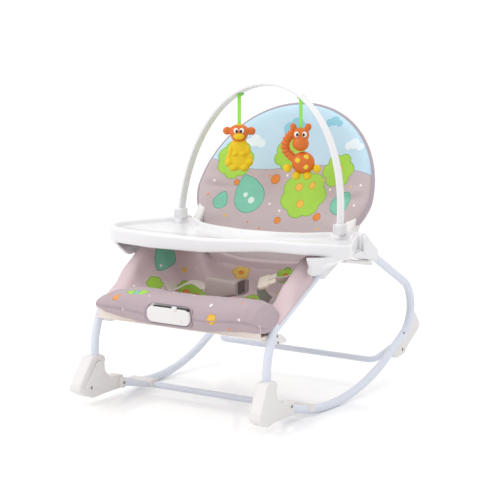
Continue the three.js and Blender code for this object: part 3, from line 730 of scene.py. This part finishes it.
strip = outline(box(-3, 3, -9, 11, 2.2), 4)
arch_rings = []
for k in range(ARCH_STEPS + 1):
    deg = 180 * k / ARCH_STEPS
    run = (arch_point(min(180, deg + 0.4)) - arch_point(max(0, deg - 0.4))).normalized()
    outward = Vector((run.y, -run.x, 0))
    arch_rings.append([ARCH @ (arch_point(deg) + outward * p.x + Vector((0, 0, p.y))) for p in strip])
piece("arch_strip", skin(arch_rings), ABS, "arch", ["toy_arch"], sharp=50)

# ------------ padded backrest
# The pad's outline is a round top on two bent sides that narrow downwards.
PAD_R = 197
half_back = [(198, 3), (189, -30, 30), (166, -60, 12), (157, -90, 30), (122, -128, 40), (96, -168, 14)]
rim = outline(half_back + [(-c[0], *c[1:]) for c in reversed(half_back)], 6)
turns = [radians(a) for a in range(174, 5, -4)]
rim = spread(rim + [Vector((PAD_R * cos(a), PAD_R * sin(a))) for a in turns], 220)
for _ in range(6):
    rim = [(rim[i - 1] + rim[i] * 2 + rim[(i + 1) % len(rim)]) / 4 for i in range(len(rim))]
# The pad's front and rear faces from its rim inwards: [distance in, height].
FRONT = [(0, -1), (1, 4), (3, 9), (7, 13), (13, 15), (22, 15), (36, 12.6), (56, 9.6), (82, 7.6), (112, 6.6),
         (140, 6)]
REAR = [(0, -1), (1, -6), (3, -9.2), (8, -10.6), (14, -10.6), (20, -9.4), (25, -6), (34, -4.6), (60, -4),
        (140, -4)]
DEPTHS = [0.8, 2, 4, 7, 11, 16, 22, 29, 37, 46, 56, 67, 79, 92, 106, 120, 132]
# Creases that run in from the sides: [height at the middle, slope, depth, width].
CREASES = [(-2, 0.08, 3.6, 4.5), (22, -0.10, 3.0, 4.0)]


def back_ring(d, stops, front):
    """The pad's outline d in from its rim, with the front's ripples and creases."""
    out = []
    for p in rim:
        q = p * (1 - d / p.length)
        n = between(stops, d)[0]
        if front:
            away = ramp(2, 26, d)
            side = ramp(90, 180, abs(q.x))
            fine = 0.6 * ripple(q.x / 26, q.y / 12, 4)
            n += away * ((0.9 + 1.5 * side) * ripple(q.x / 62, q.y / 21) + fine)
            for level, slope, deep, width in CREASES:
                n -= side * away * deep * exp(-((q.y - level - slope * abs(q.x)) / width) ** 2)
        out.append(BACK @ Vector((q.x, q.y, n)))
    return out


rings = [back_ring(d, FRONT, True) for d in reversed(DEPTHS)] + [back_ring(0, FRONT, True)]
rings += [back_ring(d, REAR, False) for d in DEPTHS]
pad = skin(rings)
back = piece("backrest_pad", pad, back_print(), "backrest", ["back_pad"], 0)
lay_print(back, lambda p: (UNBACK @ p).xy)
piping = [BACK @ Vector((p.x * (1 - 0.6 / p.length), p.y * (1 - 0.6 / p.length), 5.0)) for p in rim]
welt = sweep(piping, circle(3.2, 12), closed=True)
piece("backrest_piping", welt, PIPING, "backrest")

# ------------ seat sling
# The bottom of the sling along its length: [y, half width, height].
SLING = [(-186, 168, 202), (-153, 164, 202), (-110, 150, 198), (-60, 122, 190.5), (-20, 106, 188.5),
         (20, 99, 192), (36, 96, 199), (46, 95, 212), (54, 94, 229), (67, 93, 256)]
# How far the side bolster stands above the middle of the tube along the seat: [y, height].
BOLSTER = [(-186, 10), (-145, 10), (-104, 32), (-60, 36), (-10, 22), (20, 12)]
CREST_TOP = 286.0
# From under the tray's arms backwards, the hem and its lining run inside the tube instead of round it.
HEM_X, LINING_X = 178.2, 175.4
# The hem's points: [angle round the tube, height beside it].
HEM = [(64, 5), (52, 2), (40, -1)]


def tube_height(y):
    return 178 + 0.5275 * (y + 183)


def around(z, deg, r):
    return Vector((SEAT_TUBE_X + r * cos(radians(deg)), z + r * sin(radians(deg))))


def sling_half(y):
    """One side of the section at y: over the bolster to the tube, round its hem and back underneath."""
    half, low = between(SLING, y)
    inner = ramp(-60, -40, y)
    zt = min(tube_height(y), 272)
    crest = min(CREST_TOP - 15 * ramp(24, 52, y), zt + between(BOLSTER, y)[0])
    rise = crest - zt
    outer, inside = 197 - 18.9 * inner, 166 - 6 * inner
    wall = (half + inside) / 2
    hem = [around(zt, a, 10.4).lerp(Vector((HEM_X, zt + level)), inner) for a, level in HEM]
    lining = [around(zt, a, 8.5).lerp(Vector((LINING_X, zt - 6)), inner) for a in (40, 65, 90, 130, 165)]
    top = soften([(0, low - 3.5), (half * 0.5, low - 3), (half * 0.86, low - 0.5),
                  (wall - 5, low * 0.6 + crest * 0.4), (inside - 6, crest - 0.4 * rise), (inside, crest + 1),
                  ((inside + outer) / 2, crest + 2.5), (outer - 4, crest - 0.1 * rise),
                  (outer + 1, zt + max(10, 0.6 * rise))] + hem)
    under = soften([lining[-1], (min(176, outer - 5), zt - 6), (inside - 2, zt - 9),
                    (wall - 6, low * 0.6 + zt * 0.4 - 12), (half * 0.84, low - 11), (half * 0.5, low - 13),
                    (0, low - 13.5)])
    return spread(top, 40, False) + lining[:-1] + spread(under, 26, False)


def sling_ring(y):
    """The whole section at y, which leans back as it climbs the rear of the seat."""
    low = between(SLING, y)[1]
    run = sling_half(y)
    narrow = 1 - 0.1 * ramp(40, 70, y)
    out = []
    for side, points in ((1, run), (-1, list(reversed(run))[1:-1])):
        for p in points:
            lean = 0.55 * max(0.0, p.y - low) * ramp(-10, 62, y)
            z = p.y + 1.4 * ripple(p.x * side / 45, y / 28, 2) * ramp(0, 14, 178 - p.x)
            out.append(Vector((p.x * side * narrow, y + lean, z)))
    return out


sling_rings = [sling_ring(-173 + 4 * k) for k in range(61)]
sling = piece("seat_sling", skin(sling_rings), seat_print(), None,
              ["seat_pad", "side_wing_right", "side_wing_left"], 0)


def sling_flat(p):
    """The sling laid flat, the steep rear of the seat unrolled along its height."""
    low = between(SLING, p.y)[1]
    climb = max(0.0, low - 192) if p.y > 20 else 0.0
    return copysign(abs(p.x) + 0.6 * max(0.0, p.z - low), p.x), 64 - p.y - climb


lay_print(sling, sling_flat)

# ------------ padded front roll and board
# The plain roll's section, round from its rear: [y, z]. Then its rear, depth, lowest point and height.
ROLL = [(-154, 216), (-160, 223), (-180, 226.5), (-202, 225), (-222, 218), (-235, 207), (-239.5, 194),
        (-237, 180.5), (-229, 171), (-216, 167.3), (-203, 168), (-196, 176), (-190, 188), (-178, 198),
        (-164, 205), (-155, 209)]
ROLL_BACK, ROLL_DEPTH, ROLL_LOW, ROLL_HEIGHT = -156, -83.5, 167.3, 59.2
roll_loop = soften(ROLL + [ROLL[0]], 2)[:-1]
roll_loop = spread([(p.x, p.y, 0) for p in roll_loop], 96)
# The front, top and bottom of the roll along its length: [x, front, top, bottom].
ROLL_LINE = [(-188, -207, 197, 188), (-178, -217, 206, 182), (-150, -228, 217, 177.5), (-105, -235, 227, 173),
             (-72, -238, 227.5, 170), (-40, -239.5, 224, 168.5), (20, -240, 226, 168), (75, -239, 228, 169.5),
             (120, -236, 230, 174), (155, -230, 230, 176.5), (172, -226, 225, 175.5), (184, -221, 214, 176),
             (191, -217, 203, 176)]
SEAM_Z = 189.8
# The vibration unit's sides and the rear of its face, round which the roll is pressed back.
UNIT_LEFT, UNIT_RIGHT, UNIT_Y = -44, 51, -232


def roll_point(p, x):
    """Where a point of the plain roll's section lies at x along the real one."""
    front_y, top, low = between(ROLL_LINE, x)
    end = 184.5 if x > 0 else 178
    shrink = sqrt(max(0.0, 1 - (max(0.0, abs(x) - end) / 10.6) ** 2))
    middle = (top + low) / 2
    y = ROLL_BACK + (p.x - ROLL_BACK) * (front_y - ROLL_BACK) / ROLL_DEPTH
    z = low + (p.y - ROLL_LOW) * (top - low) / ROLL_HEIGHT
    y = -184 + (y + 184) * (0.45 + 0.55 * shrink)
    z = middle + (z - middle) * shrink
    front = ramp(-188, -212, y)
    y -= (1.6 * ripple(x / 55, z / 17, 7) + 0.9 * ripple(x / 18, z / 9, 3)) * front
    y += 2.6 * front * exp(-((p.y - SEAM_Z) / 2.4) ** 2)
    z += 1.6 * ripple(x / 40, y / 25, 9) * (1 - front) * shrink
    across = ramp(UNIT_LEFT - 6, UNIT_LEFT - 2, x) * ramp(UNIT_RIGHT + 6, UNIT_RIGHT + 2, x)
    unit = across * ramp(175, 178.5, z) * ramp(215.5, 212, z) * front
    return Vector((x, y + (max(y, UNIT_Y - 0.6) - y) * unit, z))


reach = [-188.4, -187.6, -186, -184] + [-182 + 3 * k for k in range(123)] + [187, 190, 192.5, 194, 194.9]
roll = skin([[roll_point(p, x) for p in roll_loop] for x in reach])
roll = piece("front_roll", roll, roll_print(), "frame", ["front_apron"], 0)
seam = min((p for p in roll_loop if p.x < -200), key=lambda p: abs(p.y - SEAM_Z))
seam = [roll_point(seam, -186 + 3 * k) + Vector((0, -0.3, 0)) for k in range(125)]
piece("roll_seam", sweep(seam, circle(0.9, 8)), PIPING, "frame")


def roll_flat(p):
    """The front of the roll as it hangs, and its top laid back from there."""
    if p.y < -215:
        return p.x, p.z - 168
    return p.x, 52 + 0.9 * (p.y + 222)


lay_print(roll, roll_flat)
board = plate([(-213.5, 164, 2.4), (-207, 160.5, 2.4), (-160, 160.5, 3), (-156, 171, 3), (-213, 171, 2)],
              -178, 186, edge=1.2)
plate(box(-213, -209, 168, 186, 1.8), -176, 184, edge=0.8, bm=board)
for v in board.verts:
    v.co.z += 4 * ramp(60, 180, abs(v.co.x)) * ramp(172, 160, v.co.z)
piece("front_board", board, LINING, "frame", ["front_bridge"])
lug = plate([(-188, 155, 4), (-152, 152.5, 6), (-146, 159, 5), (-163, 170, 6), (-184, 175, 4)], 168, 199.2,
            edge=2.4)
pair("board_lug", lug, PP, "frame")
screw_heads("lug_screws", [(199.8, -181, 170, 2.6, 0.9), (199.4, -178, 157.5, 2.6, 0.9)])

# ------------ vibration unit
face = plate([(UNIT_LEFT, 179.5, 13), (UNIT_RIGHT, 179.5, 13), (UNIT_RIGHT, 209.5, 12),
              (UNIT_LEFT, 209.5, 12)], -241, UNIT_Y, "xz", edge=3.2, steps=10)
piece("unit_front", face, PP, "frame", ["unit_face"])
# Painted shade: a charcoal sheet in the gap along the top of the unit's face.
recess = plate(box(-30, 47, 204, 211.2, 2), -239.6, -234, "xz", edge=0.6)
piece("unit_slot_shade", recess, SLOT_SHADE, "frame")
knob = plate(box(14, 23, 205, 213, 1.5), -243.2, -238, "xz", edge=0.9)
piece("mode_knob", knob, PP, "mode_slider", ["mode_slider"])
press = bmesh.new()
made = bmesh.ops.create_cone(press, cap_ends=True, segments=28, radius1=3.9, radius2=3.9, depth=4)
place = Matrix.Translation((32, -240.2, 186)) @ Matrix.Rotation(pi / 2, 4, "X")
bmesh.ops.transform(press, matrix=place, verts=made["verts"])
piece("power_pad", press, PP, "power_button", ["power_button"])
binding = outline([(-47.5, 176, 16), (54.5, 176, 16), (54.5, 214, 15), (-47.5, 214, 15)], 10)
loop = [(p.x, -235.5 + 3 * ramp(205, 214, p.y), p.y) for p in binding]
piece("unit_binding", sweep(loop, circle(1.3, 8), closed=True), PIPING, "frame")

# ------------ harness
sleeve_out = outline(box(-7, 7, -17, 17, 6))
sleeve_in = outline(box(-4.6, 4.6, -14.6, 14.6, 4.5))


def sleeve_ring(x, shape, grow=1.0):
    """The crotch sleeve's section at x, which sways, and opens into a mouth at its right end."""
    sway = 1.5 * sin(x / 9)
    mouth = ramp(40, 80, x)
    deep = 1 + 2.2 * mouth
    tall = 1.08 + 0.05 * sin(x / 14) - 0.2 * mouth
    return [Vector((x, -122 + p.x * grow * deep + sway + 10 * mouth, 230 + p.y * tall + 4 * mouth))
            for p in shape]


outer = [sleeve_ring(8 + 2.5 * k, sleeve_out) for k in range(29)]
inner = [sleeve_ring(78 - 2.5 * k, sleeve_in, 0.96) for k in range(29)]
piece("crotch_sleeve", skin(outer + inner, closed=True), TAUPE, "frame", ["crotch_strap"], 0)
# Painted shade: a dark core that fills the sleeve's hollow and shows through its mouth.
hole = skin([sleeve_ring(20 + 5.5 * k, sleeve_in, 0.9) for k in range(11)])
piece("sleeve_shade", hole, SLEEVE_SHADE, "frame", sharp=40)


def webbing(bm, points, wide, first=Vector((0, 0, 1))):
    """A flat belt 1.5 mm thick along points, whose face looks along first where it starts."""
    section = outline(box(-0.75, 0.75, -wide / 2, wide / 2))
    return sweep(spread(soften(points), 40, False), section, first=first, bm=bm)


# The clasp is a slab with two prongs, turned to lie on the sling.
clasp = plate(box(96, 126, -112, -88, 5), 203.5, 211, "xy", edge=2)
for x in (99, 112):
    plate([(x, -96, 2), (x + 11, -96, 2), (x + 11, -74, 4), (x, -74, 4)], 205, 209.6, "xy", edge=1, bm=clasp)
bmesh.ops.translate(clasp, vec=(-111, 93, -207), verts=clasp.verts)
place = Matrix.Translation((119, -88, 246))
for deg, axis in ((-14, "Y"), (38, "X"), (-78, "Z")):
    place = place @ Matrix.Rotation(radians(deg), 4, axis)
bmesh.ops.transform(clasp, matrix=place, verts=clasp.verts)
piece("harness_clasp", clasp, BUCKLE, "frame", ["buckle"])
belts = bmesh.new()
webbing(belts, [(130, -84, 249), (142, -70, 249), (151, -58, 253), (155, -36, 262), (157, -8, 270)], 20,
        Vector((-0.8, -0.2, 0.6)))
webbing(belts, [(112, -86, 244), (96, -78, 236), (84, -60, 222), (80, -40, 204), (78, -20, 193)], 20,
        Vector((-0.3, -0.5, 0.8)))
piece("belt_right", belts, BELT, "frame", ["waist_belt_right"], sharp=60)
belts = bmesh.new()
webbing(belts, [(-168, 0, 256), (-152, -24, 238), (-132, -48, 218), (-112, -66, 205), (-92, -84, 200)], 22,
        Vector((0.5, 0, 1)))
webbing(belts, [(-104, -72, 203), (-92, -64, 210), (-72, -66, 222), (-50, -72, 224), (-30, -80, 218),
                (-8, -100, 222)], 14)
piece("belt_left", belts, BELT, "frame", ["waist_belt_left"], sharp=60)

# ------------ hanging toys
TOY_X, TOY_TURN = 70.0, 30
# How far up its rise the arch is above the toys.
share = sqrt(1 - (TOY_X / ARCH_HALF) ** 2)
arch_z = ARCH_Z + ARCH_FOOT + ARCH_RISE * share * cos(LEAN)
TOY_Y = ARCH_Y + (arch_z - ARCH_Z) * tan(LEAN)
slope = atan(ARCH_RISE / ARCH_HALF * (TOY_X / ARCH_HALF) / share)
RIBBON_HALF = 3.6
for side, sign, body in (("right", 1, "giraffe_toy"), ("left", -1, "monkey_toy")):
    # The ribbon hugs the strip from below and behind, square to its slope.
    x = sign * TOY_X
    run = Vector((cos(slope), 0, -sign * sin(slope)))
    outward = ARCH.to_3x3() @ Vector((sign * sin(slope), cos(slope), 0))
    forward = ARCH.to_3x3() @ Vector((0, 0, 1))
    middle = Vector((x, TOY_Y, arch_z))
    loop = fillet([(5.5, -3.9, 0), (-10.2, -3.9, 0, 1.5), (-10.2, 3.9, 0, 1.5), (-6, 3.9, 0)], 5)
    points = [middle + forward * p.x + outward * p.y for p in loop]
    band = outline(box(-RIBBON_HALF, RIBBON_HALF, -0.6, 0.6))
    piece(f"ribbon_loop_{side}", sweep(points, band, first=run), RIBBON, "arch", [f"strap_loop_{side}"], 50)
    tail = box(x - RIBBON_HALF, x + RIBBON_HALF, 494, arch_z - 4.7)
    piece(f"ribbon_{side}", plate(tail, TOY_Y - 0.7, TOY_Y + 0.7, "xz", edge=0), RIBBON, body, sharp=50)


def toy_piece(name, bm, finish, x, wide=1.0, replaces=(), melted=None):
    """One part of a toy at x, shaped round its ribbon and turned on it to face the open side."""
    hung = Matrix.Translation((x, TOY_Y, 0)) @ Matrix.Rotation(radians(TOY_TURN), 4, "Z")
    bmesh.ops.transform(bm, matrix=hung @ Matrix.Diagonal((wide, 1, 1, 1)), verts=bm.verts)
    made = piece(name, bm, finish, "monkey_toy" if x < 0 else "giraffe_toy", replaces, 0)
    if melted:
        melt(made, *melted)


# The monkey: a head with round ears, a pear-shaped body with its limbs, a muzzle and a tuft of hair.
head = egg((0, 0, 491), (19, 13, 14))
egg((0, -2, 484), (16, 13, 13.5), bm=head)
for s in (-1, 1):
    egg((s * 22.5, 0, 492), (8.5, 4.5, 8), bm=head)
toy_piece("monkey_face", head, ORANGE, -TOY_X, 1.03, ["monkey_head"], (1.1, 6))
shape = [(12, 474), (15.5, 469), (17.5, 461), (18, 452), (19, 441), (21, 431), (21, 424), (17, 419.5),
         (8, 417.5)]
body = skin([[(a, 0.62 * b, z) for a, b in circle(r, 32)] for r, z in shape])
for s in (-1, 1):
    egg((s * 18.5, -5, 432), (8, 9, 8.5), bm=body)
    egg((s * 19.5, -3, 440), (5.5, 6, 9), -14 * s, body)
    egg((s * 9.5, -7, 421.5), (9, 9, 7.5), bm=body)
    egg((s * 15.5, -3, 455), (5.5, 7, 11), -10 * s, body)
    egg((s * 7, -10, 449), (6, 4.5, 4.5), bm=body)
toy_piece("monkey_torso", body, YELLOW, -TOY_X, 1.04, ["monkey_body"], (1.0, 3))
muzzle = egg((0, -12, 482.5), (10.5, 5, 6.5))
egg((0, -1, 503.5), (6, 6, 3.5), bm=muzzle)
toy_piece("monkey_muzzle", muzzle, YELLOW, -TOY_X)

# The giraffe: a head with ears, a ringed neck that bends round into a plump body, and four paws.
head = egg((0, 0, 493), (16.5, 11.5, 14))
egg((0, -3, 477), (16, 13, 14.5), bm=head)
for s in (-1, 1):
    egg((s * 14, 0, 508), (6.5, 5, 7.5), 20 * s, head)
toy_piece("giraffe_face", head, ORANGE, TOY_X, 1, ["giraffe_head"], (1.1, 5))
torso = egg((5, 0, 440), (22, 15, 21.5))
neck = soften([(-12, 1, 500), (-26, 1, 486), (-31, 1, 468), (-20, 1, 452), (-4, 0, 444)])
rings = []
for k, m in enumerate(along(spread(neck, 60, False), first=Vector((0, 1, 0)))):
    r = 8.0 + 1.6 * ramp(46, 34, k) * sin(k * 1.15)
    rings.append([m @ Vector((0.85 * a, b, 0)) for a, b in circle(r, 20)])
toy_piece("giraffe_torso", skin(rings, bm=torso), ORANGE, TOY_X, 1, ["giraffe_body"], (0.9, 2))
paws = bmesh.new()
for x, z in ((-25, 430), (-8, 416), (13, 416), (31, 429)):
    egg((x, -4, z), (8, 8, 8), bm=paws)
    egg((x, -4, z - 3), (6.5, 8.6, 5), bm=paws)
toy_piece("giraffe_paws", paws, YELLOW, TOY_X)
spots = bmesh.new()
for x, z in ((-8, 446), (8, 452), (7, 434)):
    belly = 15 * sqrt(1 - (x / 22) ** 2 - ((z - 441) / 21) ** 2)
    egg((x + 3, -belly, z), (5, 1.6, 5), bm=spots)
toy_piece("giraffe_spots", spots, SPOT, TOY_X)
# Eyes: [toy, its place, height, half the space between them, how low the pupils look, how far forward].
for name, toy_x, z, apart, look, forward in (
        ("monkey", -TOY_X, 493.5, 5.6, 0.8, 12.2), ("giraffe", TOY_X, 495, 7.4, 0.5, 10.8)):
    whites, pupils = bmesh.new(), bmesh.new()
    for s in (-1, 1):
        egg((s * apart, 0.8 - forward, z), (4.6, 3, 5.4), bm=whites)
        egg((s * (apart - 1.2), -forward - 1.6, z - look), (2.5, 1.2, 3.2), bm=pupils)
    toy_piece(f"{name}_eye_whites", whites, EYEWHITE, toy_x)
    toy_piece(f"{name}_pupils", pupils, PUPIL, toy_x)

# ------------ nodes kept as they are
for name, finish in (("unit_case", PP), ("hub_pin_right", ABS), ("hub_pin_left", ABS)):
    bpy.data.objects[name].material_slots[0].material = finish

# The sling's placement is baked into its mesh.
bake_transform(sling)

# ------------ floor, lights and camera
WHITE = (1, 1, 1, 1)
# White laminate with a high gloss. The camera sees it a little brighter, so that it reaches white.
gloss = material("gloss-white studio floor", "FFFFFF", 0.1, ior=1.3)
surface = gloss.node_tree.nodes["Principled BSDF"].inputs
surface["Emission Color"].default_value = WHITE
seen = node(gloss.node_tree, "LightPath").outputs["Is Camera Ray"]
lit = node(gloss.node_tree, "Math", {0: seen, 1: 0.1}, operation="MULTIPLY")
gloss.node_tree.links.new(lit.outputs[0], surface["Emission Strength"])
bm = bmesh.new()
bmesh.ops.create_grid(bm, x_segments=1, y_segments=1, size=14)
floor = new_object("studio_floor", new_mesh("studio_floor", bm, gloss))

world = bpy.data.worlds.new("studio")
bpy.context.scene.world = world
world.use_nodes = True
sky = world.node_tree.nodes["Background"].inputs
sky["Color"].default_value = WHITE
# The object is lit at 0.92 of white, while the camera and the gloss of the floor see full white.
path = node(world.node_tree, "LightPath").outputs
inputs = {0: path["Is Camera Ray"], 1: path["Is Glossy Ray"]}
direct = node(world.node_tree, "Math", inputs, operation="MAXIMUM")
strength = node(world.node_tree, "MapRange", {0: direct.outputs[0], "To Min": 0.92})
world.node_tree.links.new(strength.outputs[0], sky["Strength"])


def soft_box(name, place, aim, size, power):
    light = bpy.data.lights.new(name, "AREA")
    light.size = size
    light.energy = power
    lamp = new_object(name, light)
    lamp.location = place
    lamp.rotation_euler = (Vector(aim) - Vector(place)).to_track_quat("-Z", "Y").to_euler()


soft_box("key box", (-1.6, -2.2, 2.6), (0, 0, 0.25), 2.0, 26)
soft_box("top box", (0.4, 0.6, 3.0), (0, 0, 0.2), 2.4, 16)

AZIMUTH, ELEVATION, DISTANCE = radians(33.5), radians(9.8), 3.805
AIM = Vector((0, -0.0030, 0.275))
flat = cos(ELEVATION)
away = Vector((sin(AZIMUTH) * flat, -cos(AZIMUTH) * flat, sin(ELEVATION)))
view = bpy.data.cameras.new("camera")
view.lens = 144
view.sensor_width = 36
view.clip_end = 60
camera = new_object("camera", view)
camera.location = AIM + away * DISTANCE
camera.rotation_euler = (-away).to_track_quat("-Z", "Y").to_euler()
bpy.context.scene.camera = camera
bpy.context.scene.view_settings.view_transform = "Standard"
